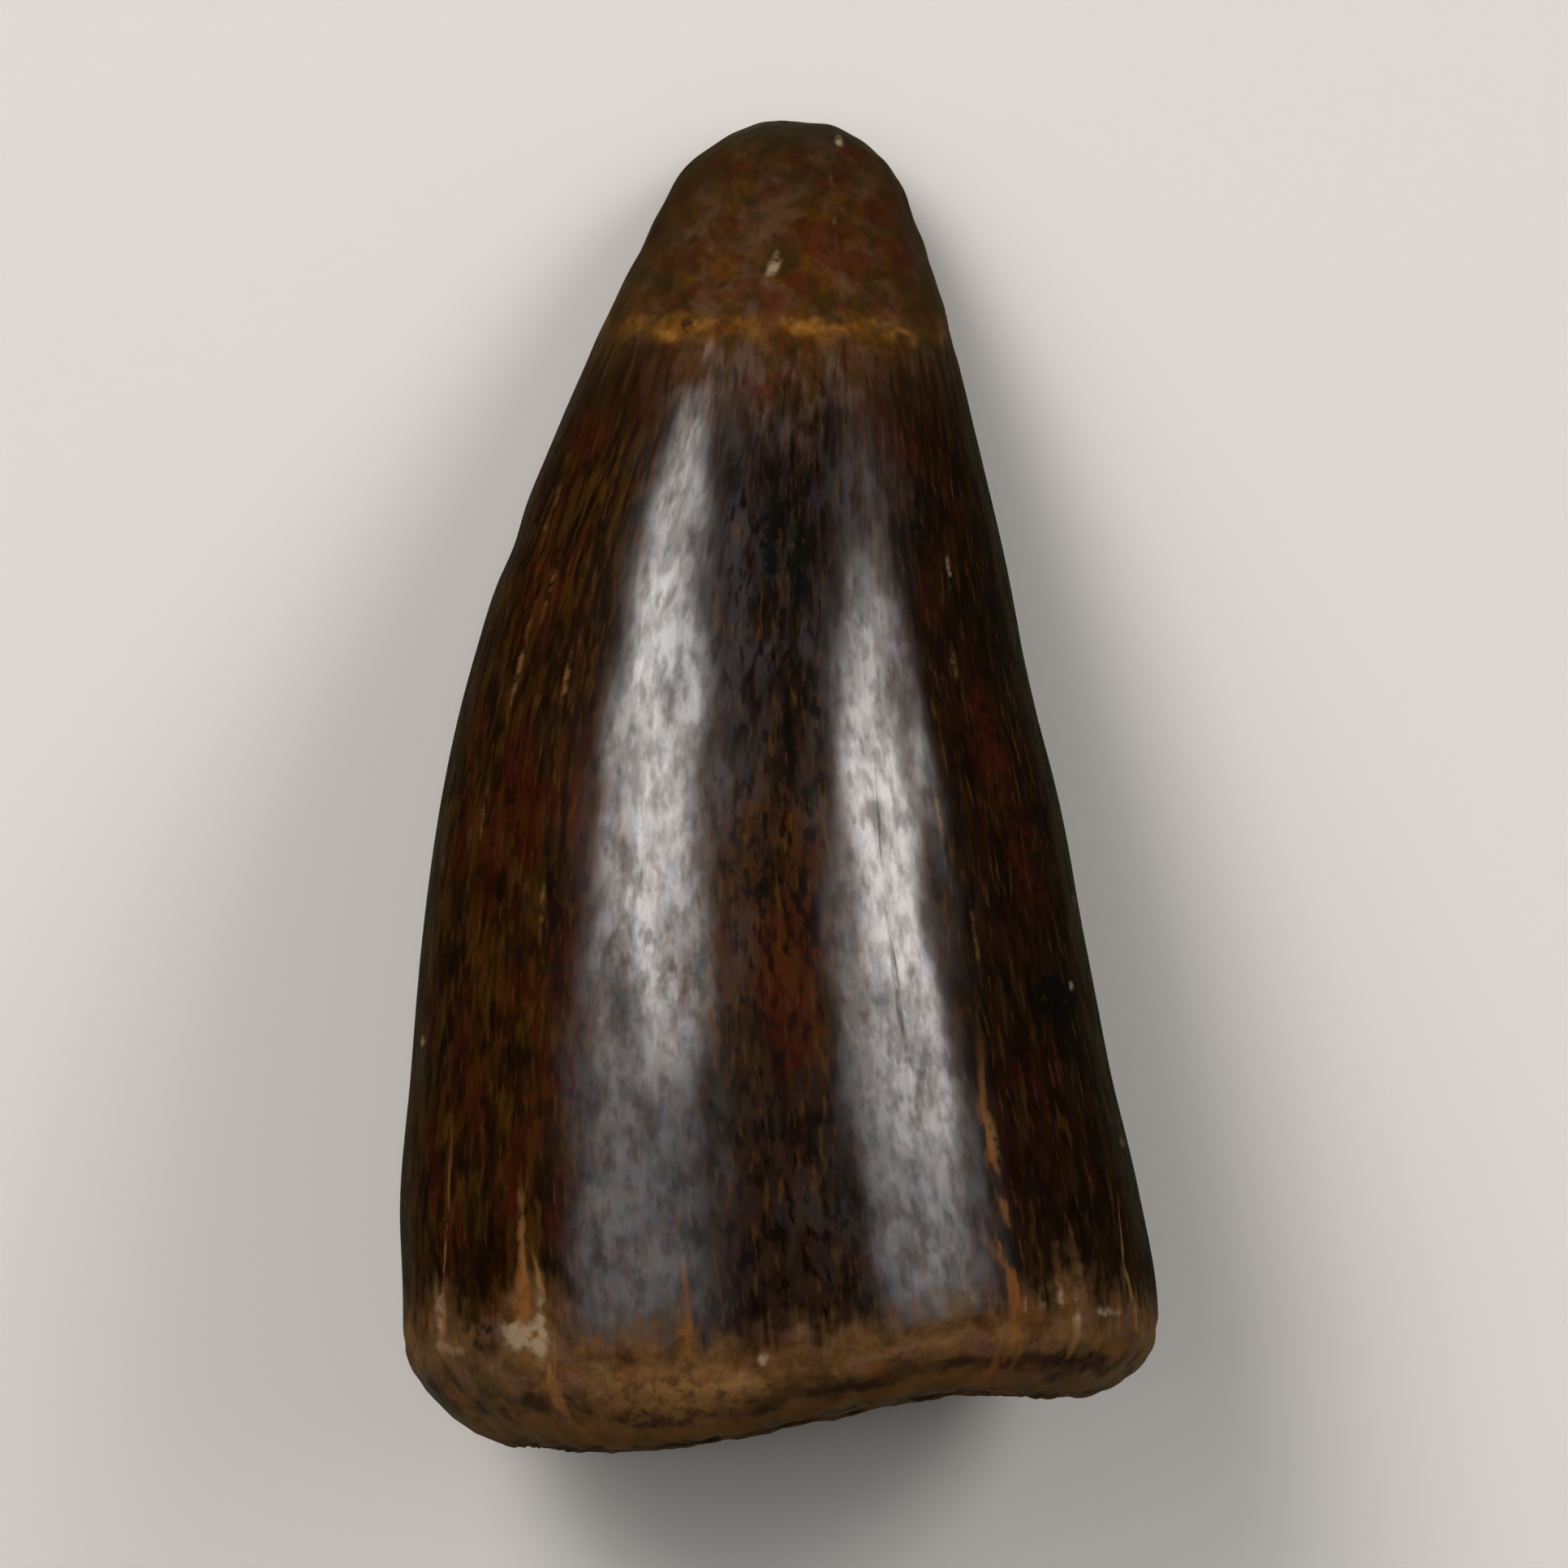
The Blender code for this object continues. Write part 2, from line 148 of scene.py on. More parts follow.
# Marks on the outer face: place across, height, half width, half height, strength and, for some, their slope.
toothMarks = {
    "darkMark": [
        (6.64, 10.8, 0.42, 0.5, 2.2), (6.88, 9.65, 0.18, 0.26, 1.0), (2.41, 13.8, 0.09, 0.14, 0.9),
        (-2.15, 27.0, 0.24, 0.22, 0.8), (-0.15, 30.4, 0.34, 0.22, 0.4), (0.05, 29.25, 0.3, 0.26, 0.4),
        (-3.0, 29.3, 0.4, 0.34, 0.35), (-3.6, 28.3, 0.25, 0.18, 0.4), (-0.1, 21.9, 0.24, 1.0, 1.1),
        (0.55, 21.3, 0.2, 1.1, 1.1), (0.1, 19.8, 0.2, 0.7, 0.6), (-1.3, 15.3, 0.16, 1.4, 0.3),
        (0.3, 17.2, 0.2, 1.1, 0.7), (0.1, 15.6, 0.25, 1.0, 0.5), (3.4, 22.0, 0.3, 1.2, 0.6),
        (-0.4, 13.4, 0.2, 1.4, 0.6), (5.3, 19.6, 0.35, 1.6, 0.5), (-6.9, 2.9, 0.9, 0.5, 0.5),
        (5.0, 5.5, 0.4, 1.6, 0.35), (7.0, 4.6, 0.7, 1.0, 0.4), (-7.1, 4.2, 0.45, 1.0, 0.35),
        (7.2, 2.2, 1.3, 0.7, 0.34),
    ],
    "tanMark": [
        (-2.9, 1.3, 2.4, 0.7, 0.6), (-1.2, 1.9, 1.6, 0.4, 0.35), (4.2, 2.6, 0.8, 0.3, 0.35),
        (-5.43, 22.5, 0.07, 0.7, 0.5), (-5.04, 18.5, 0.08, 0.7, 0.55), (-6.15, 18.9, 0.07, 1.4, 0.55),
        (-5.45, 20.6, 0.06, 0.9, 0.45), (3.85, 15.2, 0.07, 0.9, 0.6), (4.2, 18.9, 0.1, 0.5, 0.4),
        (-5.6, 13.2, 0.07, 1.2, 0.4), (-7.0, 15.4, 0.06, 1.2, 0.35), (4.7, 12.4, 0.07, 1.2, 0.4),
        (-6.1, 5.4, 0.12, 1.2, 0.55), (5.1, 7.6, 0.14, 0.8, 0.6),
    ],
    "redMark": [
        (2.55, 29.8, 0.5, 0.42, 0.8), (2.8, 28.75, 0.5, 0.4, 0.8), (1.75, 31.25, 0.5, 0.22, 0.7),
        (-2.4, 28.7, 0.7, 0.4, 0.35), (-0.3, 25.6, 1.0, 0.5, 0.4), (-4.6, 24.3, 0.7, 0.8, 0.5),
        (2.9, 24.0, 0.6, 0.9, 0.4), (0.3, 10.8, 0.8, 2.4, 0.6), (-5.4, 20.6, 0.35, 1.2, 0.6),
        (-6.2, 16.0, 0.35, 2.2, 0.6), (-6.9, 14.4, 0.25, 1.6, 0.6), (5.0, 17.0, 0.4, 1.9, 0.7),
        (6.0, 14.0, 0.5, 1.5, 0.5), (3.6, 20.6, 0.3, 1.2, 0.5), (-7.4, 9.6, 0.4, 2.2, 0.4),
        (-5.9, 8.2, 0.3, 1.6, 0.4), (6.2, 8.4, 0.5, 1.6, 0.4), (-0.6, 6.4, 0.5, 1.4, 0.3),
    ],
    "paleMarkAndHighlight": [
        (-0.1, 28.4, 0.14, 0.42, 0.62, 0.3), (1.48, 31.5, 0.1, 0.15, 0.6), (1.34, 29.9, 0.08, 1.4, 0.2),
        (-0.37, 2.32, 0.2, 0.18, 0.6), (7.12, 13.2, 0.06, 0.12, 0.6), (7.02, 11.15, 0.06, 0.12, 0.6),
        (8.25, 7.45, 0.06, 0.08, 1.0), (-8.0, 14.1, 0.06, 0.12, 0.6), (-8.48, 9.9, 0.06, 0.12, 0.7),
        (-6.25, 3.0, 0.42, 0.3, 0.7), (-5.62, 3.2, 0.14, 0.8, 0.75), (-5.95, 2.75, 0.6, 0.25, 0.5),
        (-8.05, 3.3, 0.14, 0.7, 0.5), (-7.8, 2.5, 0.5, 0.15, 0.4), (6.73, 3.8, 0.1, 0.35, 0.7),
        # The slanted mark at 7.9 across and 3.4 high is a painted highlight on the rising edge of the
        # enamel's border; the other pale marks are real pale patches.
        (7.9, 3.4, 0.32, 0.12, 0.6, -1.2), (7.15, 3.4, 0.1, 0.6, 0.5), (6.3, 3.75, 0.08, 0.3, 0.5),
        (5.9, 3.6, 0.07, 0.25, 0.5), (1.33, 2.05, 0.12, 0.12, 0.4), (4.1, 21.1, 0.06, 0.4, 0.5),
        (4.6, 3.9, 0.5, 0.3, 0.3),
    ],
    # Painted sheen: soft grey patches painted where the polish would mirror light, between and beside the
    # highlights.
    "paintedSheenMark": [
        (2.3, 23.3, 0.7, 1.1, 0.9), (0.0, 19.6, 1.2, 0.8, 0.7), (-3.0, 23.4, 0.6, 0.9, 0.6),
        (2.5, 20.6, 0.5, 1.4, 0.5), (-0.9, 22.0, 0.6, 1.6, 0.5), (-1.1, 16.8, 0.6, 1.6, 0.6),
        (1.2, 17.2, 0.6, 1.0, 0.4), (-0.9, 12.6, 0.5, 1.2, 0.35), (0.9, 5.6, 1.0, 1.4, 0.4),
        (-1.4, 7.4, 0.5, 1.4, 0.4), (0.3, 24.4, 1.0, 0.5, 0.4),
    ],
    "scuffed": [
        (-3.3, 19.0, 0.8, 4.6, 1.0), (0.2, 20.6, 1.3, 3.6, 0.35), (-3.0, 12.3, 1.0, 1.7, 0.8),
        (-1.3, 16.6, 0.4, 2.6, 0.8), (1.9, 18.0, 0.5, 3.0, 0.6), (3.2, 9.2, 1.3, 2.2, 0.7),
        (-1.6, 24.4, 1.6, 1.2, 0.7), (2.0, 22.6, 1.1, 1.5, 0.7), (-3.2, 6.5, 1.6, 2.5, 0.35),
        (3.6, 5.0, 1.4, 2.0, 0.5),
    ],
    "pitted": [
        (-3.3, 12.5, 1.2, 1.5, 1.0), (-2.2, 11.0, 0.6, 0.9, 0.9), (3.2, 9.0, 1.2, 1.6, 0.8),
        (2.7, 12.6, 1.0, 3.0, 0.3), (-3.2, 16.5, 1.0, 3.0, 0.3), (3.8, 5.4, 1.2, 1.6, 0.35),
        (-1.8, 23.6, 0.8, 0.8, 0.3),
    ],
}


# A smooth curve through points (place, value, ...): cubics whose slope at each point is the slope between
# its neighbours. With a period, it closes on itself.
def smoothCurve(points, at, period=None):
    table = np.array(points, float)
    if period:
        at = np.mod(at, period)
        before, after = table[-1].copy(), table[0].copy()
        before[0] -= period
        after[0] += period
        table = np.vstack([before, table, after])
    at = np.clip(at, table[0, 0], table[-1, 0])
    low = np.clip(np.searchsorted(table[:, 0], at, side="right") - 1, 0, len(table) - 2)
    high, before, after = low + 1, np.maximum(low - 1, 0), np.minimum(low + 2, len(table) - 1)
    where = table[:, 0]
    span = where[high] - where[low]
    share = (at - where[low]) / span
    found = []
    for column in range(1, table.shape[1]):
        value = table[:, column]
        slopeIn = (value[high] - value[before]) / (where[high] - where[before]) * span
        slopeOut = (value[after] - value[low]) / (where[after] - where[low]) * span
        found.append(
            value[low] * (1 + 2 * share) * (1 - share) ** 2 + slopeIn * share * (1 - share) ** 2
            + value[high] * share**2 * (3 - 2 * share) + slopeOut * share**2 * (share - 1)
        )
    return found


# 0 below low, 1 above high, and 3s^2 - 2s^3 between them.
def smoothStep(value, low, high):
    share = np.clip((value - low) / (high - low), 0, 1)
    return share * share * (3 - 2 * share)


# A smooth rise between the first two limits, times a smooth fall between the other two.
def riseAndFall(value, rises, falls):
    return smoothStep(value, *rises) * (1 - smoothStep(value, *falls))


# exp(-(distance / spread)^2).
def hump(distance, spread):
    return np.exp(-((distance / spread) ** 2))


# The smaller angle between two directions, in degrees.
def angleBetween(first, second):
    return np.abs(np.mod(first - second + 180, 360) - 180)


# The size to a power, with the sign kept.
def signedPower(value, power):
    return np.sign(value) * np.abs(value) ** power


# What the worn tip leaves of the section: (1 - s^flatness)^(1/fullness), s from 0 to 1 up the rounding,
# with the shoulders fuller on the right.
def tipRounding(angle, height):
    form = toothForm
    share = np.clip((height - form["length"] + form["tipRound"]) / form["tipRound"], 0, 1)
    fullness = form["tipFullness"] + form["tipFullerRight"] * np.cos(np.radians(angle))
    return (1 - share ** form["tipFlatness"]) ** (1 / fullness)


# The section's middle across the tooth, and half its width.
def widthAt(height):
    left, right, _, _ = smoothCurve(toothForm["profile"], height)
    return (right - left) / 2, (right + left) / 2


# A point of the cross section, half an ellipse above a fuller half, with share 1 on the outline: x, z and
# the outline's distance from the middle.
def sectionPoint(angle, height, share, relief=0.0):
    form = toothForm
    left, right, top, bottom = smoothCurve(form["profile"], height)
    middleX = (right - left) / 2
    middleZ = bottom + form["widestLevel"] * (top - bottom)
    turn = np.radians(angle)
    above = np.sin(turn) >= 0
    power = np.where(above, 1.0, 2 / form["lowerFullness"])
    outX = (right + left) / 2 * signedPower(np.cos(turn), power)
    outZ = np.where(above, top - middleZ, middleZ - bottom) * signedPower(np.sin(turn), power)
    reach = np.hypot(outX, outZ)
    scale = share * tipRounding(angle, height) + relief / reach
    return middleX + outX * scale, middleZ + outZ * scale, reach


# The two cutting edges, a hump each across the angle, faded at both ends, less the nick in the left side.
def edgeRelief(angle, height):
    form = toothForm
    ridge = sum(hump(angleBetween(angle, at), form["edgeSpread"]) for at in form["edgeAngles"])
    fade = riseAndFall(height, form["edgeStarts"], form["edgeEnds"])
    nick = hump(angleBetween(angle, form["nickAngle"]), form["nickAngleSpread"])
    nick = nick * hump(height - form["nickHeight"], form["nickHeightSpread"])
    return form["edgeHeight"] * ridge * fade - form["nickDepth"] * nick


# Height of the broken base: a smooth climb to the right, a turn up at the far left, a lean and low lumps.
def baseHeight(x, z):
    form = toothForm
    climb = form["baseClimb"] * smoothStep(x, form["baseClimbFrom"], form["baseClimbTo"])
    left = np.maximum((form["baseLeftFrom"] - x) / form["baseLeftSpan"], 0)
    lumps = np.sin(form["baseLumpAcross"] * x) * np.cos(form["baseLumpUp"] * z)
    return (form["baseStart"] + climb + form["baseLeftTurn"] * left**2 + form["baseLean"] * z
            + form["baseLump"] * lumps)


# Height of the enamel's lower border: its smooth level plus a hump for each chip.
def borderHeight(angle):
    level = smoothCurve(toothForm["borderLevel"], angle, period=360)[0]
    chips = toothForm["borderChips"]
    return level + sum(lift * hump(angleBetween(angle, at), wide) for at, lift, wide in chips)


# Radius of the worn rim, blended from the side's to the outer face's or the resting side's.
def rimRadius(angle):
    form = toothForm
    across, upward = np.cos(np.radians(angle)), np.sin(np.radians(angle))
    side = np.where(across > 0, form["rimRight"], form["rimLeft"])
    facing = np.where(upward > 0, form["rimOuter"], form["rimResting"])
    return side + (facing - side) * np.abs(upward) ** form["rimChange"]


# A point at a depth above the broken base, on the section shrunk to a share.
def basePoint(angle, share, depth):
    x, z, _ = sectionPoint(angle, 1.0 + 0 * angle, share)
    height = baseHeight(x, z) + depth
    x, z, _ = sectionPoint(angle, np.maximum(height, 0), share)
    return np.stack([x, height + 0 * x, z], axis=-1)


# A point on the crown: the section with its edges, lowered on the right of the sloping tip.
def crownPoint(angle, height):
    form = toothForm
    x, z, _ = sectionPoint(angle, height, 1.0, edgeRelief(angle, height))
    slope = form["tipSlope"] * smoothStep(height, form["length"] - form["tipRound"], form["length"])
    return np.stack([x, height - slope * np.maximum(x - form["tipPeakX"], 0), z], axis=-1)


# The enamel's worn edge: a smooth step in, spread over a little of its height.
def stepPoint(angle, share):
    form = toothForm
    height = borderHeight(angle) - form["stepSpread"] * share
    x, z, _ = sectionPoint(angle, height, 1.0, -form["enamelStep"] * smoothStep(share, 0, 1))
    return np.stack([x, height, z], axis=-1)


# A point on the worn rim: turn 0 on the root's wall, a right angle on the base, both arms worn back by a
# power.
def rimPoint(angle, turn):
    form = toothForm
    radius = rimRadius(angle)
    x, z, reach = sectionPoint(angle, 1.0 + 0 * angle, 1.0)
    room = borderHeight(angle) - form["stepSpread"] - form["rootWall"] - baseHeight(x, z)
    inward = radius * (1 - np.maximum(np.cos(turn), 0) ** form["rimWorn"])
    upward = np.minimum(radius, room) * (1 - np.sin(turn) ** form["rimWorn"])
    return basePoint(angle, 1 - (form["enamelStep"] + inward) / reach, upward)


# The bare root, on straight lines from the enamel's step to the rim.
def rootPoint(angle, share):
    step = toothForm["enamelStep"]
    foot = borderHeight(angle) - toothForm["stepSpread"]
    rimStart = rimPoint(angle, 0.0)[..., 1]
    height = foot + (rimStart - foot) * share
    x, z, _ = sectionPoint(angle, height, 1.0, -step)
    return np.stack([x, height, z], axis=-1)


# The angle of a crack at a height: the turn whose cosine gives its place across the section.
def crackAngle(crack, height):
    across = smoothCurve(crack["route"], height)[0]
    middle, half = widthAt(height)
    turn = np.degrees(np.arccos(np.clip((across - middle) / half, -1, 1)))
    return -turn if crack.get("special") == "under" else turn


# The columns' angles, right round from the resting side: equal shares of a running sum of density, which is
# higher on the outer face and at each crack.
def columnAngles():
    grid = toothGrid
    fine = np.linspace(-90, 270, 3601)
    density = 1 + grid["outerCrowding"] * (0.5 + 0.5 * np.sin(np.radians(fine)))
    for crack in toothCracks.values():
        middle = crackAngle(crack, np.array([sum(crack["shows"]) / 2]))
        density += grid["crackCrowding"] * hump(angleBetween(fine, middle), grid["crackReach"])
    running = np.concatenate([[0], np.cumsum((density[1:] + density[:-1]) / 2)])
    return np.interp(np.arange(grid["columns"]) / grid["columns"], running / running[-1], fine)


# Shares from 0 to 1 in so many steps, one to a row.
def shares(steps):
    return np.linspace(0, 1, steps + 1)[:, None]


# The surface as rows of points, from the tip to the cavity's floor, with each row's zone: 0 on the crown
# and the root, then to 1 round the rim, 2 across the broken base and 3 down the cavity.
def toothRows(angle):
    form, grid = toothForm, toothGrid
    top = form["length"] - form["tipRound"]
    turns = np.linspace(math.pi / 2, 0, grid["tipRows"] + 1)[1:-1, None]
    tip = crownPoint(angle, top + form["tipRound"] * np.sin(turns) ** (2 / form["tipFlatness"]) + 0 * angle)
    border = borderHeight(angle)
    share = np.linspace(1, 0, grid["crownRows"])[:, None]
    crown = crownPoint(angle, border + (top - border) * share)
    step = stepPoint(angle, shares(grid["stepRows"])[1:])
    root = rootPoint(angle, shares(grid["rootRows"])[1:-1])
    rim = rimPoint(angle, np.linspace(0, math.pi / 2, grid["rimRows"])[:, None])
    _, _, reach = sectionPoint(angle, 1.0 + 0 * angle, 1.0)
    rimShare = 1 - (form["enamelStep"] + rimRadius(angle)) / reach
    lipShare = form["cavityMouth"] * (1 + form["cavityLipWidth"])
    base = basePoint(angle, rimShare + (lipShare - rimShare) * shares(grid["baseRows"])[1:], 0.0)
    turns = np.linspace(0, math.pi / 2, grid["cavityRows"] + 1)[:-1, None]
    shrink = form["cavityMouth"] * np.cos(turns) ** (2 / form["cavityFullness"])
    deep = np.sin(turns) ** (2 / form["cavityFullness"])
    depth = form["cavityLipDepth"] + (form["cavityDepth"] - form["cavityLipDepth"]) * deep
    cavity = basePoint(angle, shrink, depth)
    enamelRows = len(tip) + len(crown) + len(step)
    zone = np.vstack([
        np.zeros((enamelRows + len(root), 1)), shares(len(rim) - 1),
        1 + shares(grid["baseRows"])[1:], 2 + shares(grid["cavityRows"])[:-1],
    ])
    return np.vstack([tip, crown, step, root, rim, base, cavity]), zone, enamelRows


# The two poles that close the surface, at the tip and on the cavity's floor.
def closingPoles():
    form = toothForm
    flat = np.zeros(1)
    _, tipZ, _ = sectionPoint(flat, flat + form["length"], 0.0)
    floorX, floorZ, _ = sectionPoint(flat, flat + form["cavityDepth"], 0.0)
    floor = (floorX[0], baseHeight(floorX, floorZ)[0] + form["cavityDepth"], floorZ[0])
    return np.array([(form["tipPeakX"], form["length"], tipZ[0]), floor])


# A smooth random field with a spread of about 1: sine waves in random directions, added up.
def spaceWaves(points, seed, count, lengths):
    chance = np.random.default_rng(seed)
    total = np.zeros(points.shape[:-1])
    for _ in range(count):
        direction = chance.normal(size=3)
        direction *= 2 * math.pi / (np.linalg.norm(direction) * chance.uniform(*lengths))
        total += np.sin(points @ direction + chance.uniform(0, 2 * math.pi))
    return total / math.sqrt(count / 2)


# Random long ridges with a spread of about 1: sine waves that go a whole number of times round the tooth
# and slant a little.
def ridgeWaves(angle, height, seed, count, turns, slant):
    chance = np.random.default_rng(seed)
    total = np.zeros(np.broadcast(angle, height).shape)
    for _ in range(count):
        turn = chance.integers(turns[0], turns[1], endpoint=True)
        lean = chance.uniform(-slant, slant) * turn
        total += np.sin(np.radians(angle) * turn + height * lean + chance.uniform(0, 2 * math.pi))
    return total / math.sqrt(count / 2)


# Signed distance from a crack, its turn times the section's reach, over an opening that narrows as it
# climbs, and its strength, which ends at the rim.
def crackField(crack, angle, height, reach, zone):
    turn = np.mod(angle - crackAngle(crack, height) + 180, 360) - 180
    low, high = crack["shows"]
    fadeLow, fadeHigh = crack["fades"]
    shown = riseAndFall(height, (low - fadeLow, low), (high, high + fadeHigh))
    shown = shown * (1 - smoothStep(zone, *toothForm["cracksEnd"]))
    opening = 1 - toothForm["crackNarrowing"] * smoothStep(height, low, high)
    return np.radians(turn) * reach / opening, crack["strength"] * shown


# Relief along the normal, in millimetres: each kind's waves times its height and its place. Broken lumps
# are a level less the waves' size, and growth lines a wandering sine of the zone.
def fineRelief(points, angle, zone, onEnamel, cracks):
    relief = toothRelief
    height = points[..., 1]
    waves = {kind: spaceWaves(points / np.array([1.0, drawnOut, 1.0]), seed, count, lengths)
             for kind, (_, seed, count, lengths, drawnOut) in relief["waves"].items()}
    waves["brokenLumps"] = relief["lumpLevel"] - np.abs(waves["brokenLumps"])
    waves["growthLines"] = np.sin((zone - 1) * 2 * math.pi * relief["growthLineCount"] + waves["growthLines"])
    ridges = riseAndFall(height, *relief["ridged"]) * onEnamel
    where = {
        "striae": ridges, "dents": onEnamel, "tipWear": smoothStep(height, *relief["tipWorn"]),
        "dentineGrain": 1 - onEnamel,
    }
    for kind in ("brokenLumps", "growthLines", "cavityLumps"):
        where[kind] = riseAndFall(zone, *relief["zones"][kind])
    flutes = ridgeWaves(angle, height, relief["fluteSeed"], relief["fluteCount"], relief["flutesRound"],
                        relief["flutesSlant"])
    total = relief["flutes"] * flutes * ridges
    for kind, (high, *_) in relief["waves"].items():
        total += high * waves[kind] * where[kind]
    for name, (distance, strength) in cracks.items():
        crack = toothCracks[name]
        total -= crack["depth"] * strength * hump(distance, crack["width"] * 0.7)
    return total


# Unit normals of a closed-round grid: the cross product of its steps round and down.
def gridNormals(points):
    around = np.roll(points, -1, axis=1) - np.roll(points, 1, axis=1)
    normal = np.cross(around, np.gradient(points, axis=0))
    return normal / np.maximum(np.linalg.norm(normal, axis=-1, keepdims=True), 1e-9)


# How far round a face: 0 in its middle, 1 half way down the flank and 2 at the outline.
def flankField(angle, height):
    return 2 * smoothStep(np.abs(np.cos(np.radians(angle))), 0.15, 1.0) + 0 * height


# Strength of a kind of mark: soft ellipses, each at its share of the section's width, added, 1 at most.
def markField(kind, x, height, outer):
    middle, half = widthAt(height)
    share = (x - middle) / half
    total = np.zeros(x.shape)
    for across, up, wide, tall, strength, *lean in toothMarks[kind]:
        markMiddle, markHalf = widthAt(np.array(up))
        above = height - up
        sideways = (share - (across - markMiddle) / markHalf) * half - (lean[0] if lean else 0) * above
        total += strength * np.exp(-((sideways / wide) ** 2 + (above / tall) ** 2))
    return np.clip(total, 0, 1) * outer


# One mesh: quads between neighbours, a fan round each pole, a map of columns by rows, and the given fields.
def gridToMesh(name, points, poles, fields):
    rows, columns, _ = points.shape
    index = np.arange(rows * columns).reshape(rows, columns)
    beside = np.roll(index, -1, axis=1)
    quads = np.stack([index[:-1], beside[:-1], beside[1:], index[1:]], axis=-1).reshape(-1, 4)
    tipPole, floorPole = rows * columns, rows * columns + 1
    tipFan = np.stack([beside[0], index[0], np.full(columns, tipPole)], axis=-1)
    floorFan = np.stack([index[-1], beside[-1], np.full(columns, floorPole)], axis=-1)
    mesh = bpy.data.meshes.new(name)
    places = np.vstack([points.reshape(-1, 3), poles]) * mm
    mesh.from_pydata(places.tolist(), [], quads.tolist() + tipFan.tolist() + floorFan.tolist())
    unrolled = mesh.uv_layers.new(name="unrolled")    # columns across and rows down
    corners = [(np.arange(1, rows), (0, 1, 1, 0), (0, 0, 1, 1)), (np.zeros(1), (1, 0, 0), (1, 1, 0)),
               (np.full(1, rows), (0, 1, 0), (0, 0, 1))]
    places = []
    for row, across, down in corners:
        column, level = np.arange(columns)[:, None] + across, row[:, None, None] + down
        spread = np.broadcast_arrays(column / columns, level / (rows + 1))
        places.append(np.stack(spread, axis=-1).ravel())
    unrolled.uv.foreach_set("vector", np.concatenate(places).astype(np.float32))
    for label, values in fields.items():
        kind, slot = ("FLOAT_VECTOR", "vector") if values.ndim == 3 else ("FLOAT", "value")
        ends = np.stack([values[0].mean(axis=0), values[-1].mean(axis=0)])    # what the two poles carry
        every = np.concatenate([values.reshape(rows * columns, *values.shape[2:]), ends])
        mesh.attributes.new(label, kind, "POINT").data.foreach_set(slot, every.astype(np.float32).ravel())
    mesh.validate()
    mesh.shade_smooth()
    return mesh


# A new object of a mesh, a light or a camera, in the scene.
def addToScene(name, data):
    made = bpy.data.objects.new(name, data)
    bpy.context.scene.collection.objects.link(made)
    return made


# The tooth: its rows moved out along their normals by the relief, centred, cut flat where it rests.
def makeTooth():
    angle = columnAngles()[None, :]
    points, zone, enamelRows = toothRows(angle)
    poles = closingPoles()
    everyPoint = np.vstack([points.reshape(-1, 3), poles])
    middle = (everyPoint.min(axis=0) + everyPoint.max(axis=0)) / 2
    zone = zone + 0 * angle
    height = points[..., 1]
    onEnamel = np.zeros(zone.shape)
    onEnamel[:enamelRows] = 1
    stepRows = toothGrid["stepRows"]
    onEnamel[enamelRows - stepRows : enamelRows] = np.linspace(1, 0, stepRows)[:, None]
    _, _, reach = sectionPoint(angle + 0 * height, np.clip(height, 0, toothForm["length"]), 1.0)
    cracks = {name: crackField(crack, angle, height, reach, zone) for name, crack in toothCracks.items()}
    relief = fineRelief(points, angle, zone, onEnamel, cracks)
    points = points + gridNormals(points) * relief[..., None]
    form, around = toothForm, np.radians(angle) + 0 * height
    outer = smoothStep(np.sin(around), *form["marksAround"]) * (1 - smoothStep(zone, *form["marksEnd"]))
    radius, inside = form["grainRadius"], smoothStep(zone, *form["bareZones"])
    fields = {
        "grain": np.stack([radius * np.cos(around), radius * np.sin(around), height], axis=-1),
        "aboveBorder": height - borderHeight(angle) - form["bareBelow"] * inside,
        "zone": zone,
        "flank": flankField(angle, height),
    }
    for kind in toothMarks:
        fields[kind] = markField(kind, points[..., 0], height, outer)
    for name, (distance, strength) in cracks.items():
        pale = toothCracks[name]["pale"] + 0 * distance
        fields[name] = np.stack([distance, strength, pale], axis=-1)
    points[..., :2] -= middle[:2]
    poles[:, :2] -= middle[:2]
    points[..., 2] = np.maximum(points[..., 2], 0)
    mesh = gridToMesh("fossilTooth", points, poles, fields)
    print("tooth surface made:", len(mesh.polygons), "faces")
    return addToScene("fossilTooth", mesh)


# A colour noted as 0 to 255, as a screen shows it, made linear.
def paint(red, green, blue):
    shown = np.array([red, green, blue]) / 255
    linear = np.where(shown <= 0.04045, shown / 12.92, ((shown + 0.055) / 1.055) ** 2.4)
    return (*linear.tolist(), 1.0)


# Adds a node, sets its settings, and gives each input a value or the socket that feeds it.
def addNode(tree, kind, inputs=None, **settings):
    node = tree.nodes.new(kind)
    for name, value in settings.items():
        setattr(node, name, value)
    for name, value in (inputs or {}).items():
        if isinstance(value, bpy.types.NodeSocket):
            tree.links.new(value, node.inputs[name])
        else:
            node.inputs[name].default_value = value
    return node


# One step of arithmetic, in the node tree that a socket among the values belongs to.
def sums(operation, first, second=0.0):
    tree = next(value.id_data for value in (first, second) if isinstance(value, bpy.types.NodeSocket))
    return addNode(tree, "ShaderNodeMath", {0: first, 1: second}, operation=operation).outputs[0]


# Values added up.
def plus(*values):
    return functools.reduce(lambda first, second: sums("ADD", first, second), values)


# Values multiplied together.
def times(*values):
    return functools.reduce(lambda first, second: sums("MULTIPLY", first, second), values)


# What a mask leaves of 1.
def rest(mask):
    return sums("SUBTRACT", 1.0, mask)


# A smooth rise from 0 at low to 1 at high, or a fall where low is the greater.
def rise(value, low, high):
    made = addNode(value.id_data, "ShaderNodeMapRange", {"Value": value, "From Min": low, "From Max": high},
                   interpolation_type="SMOOTHSTEP")
    return made.outputs["Result"]


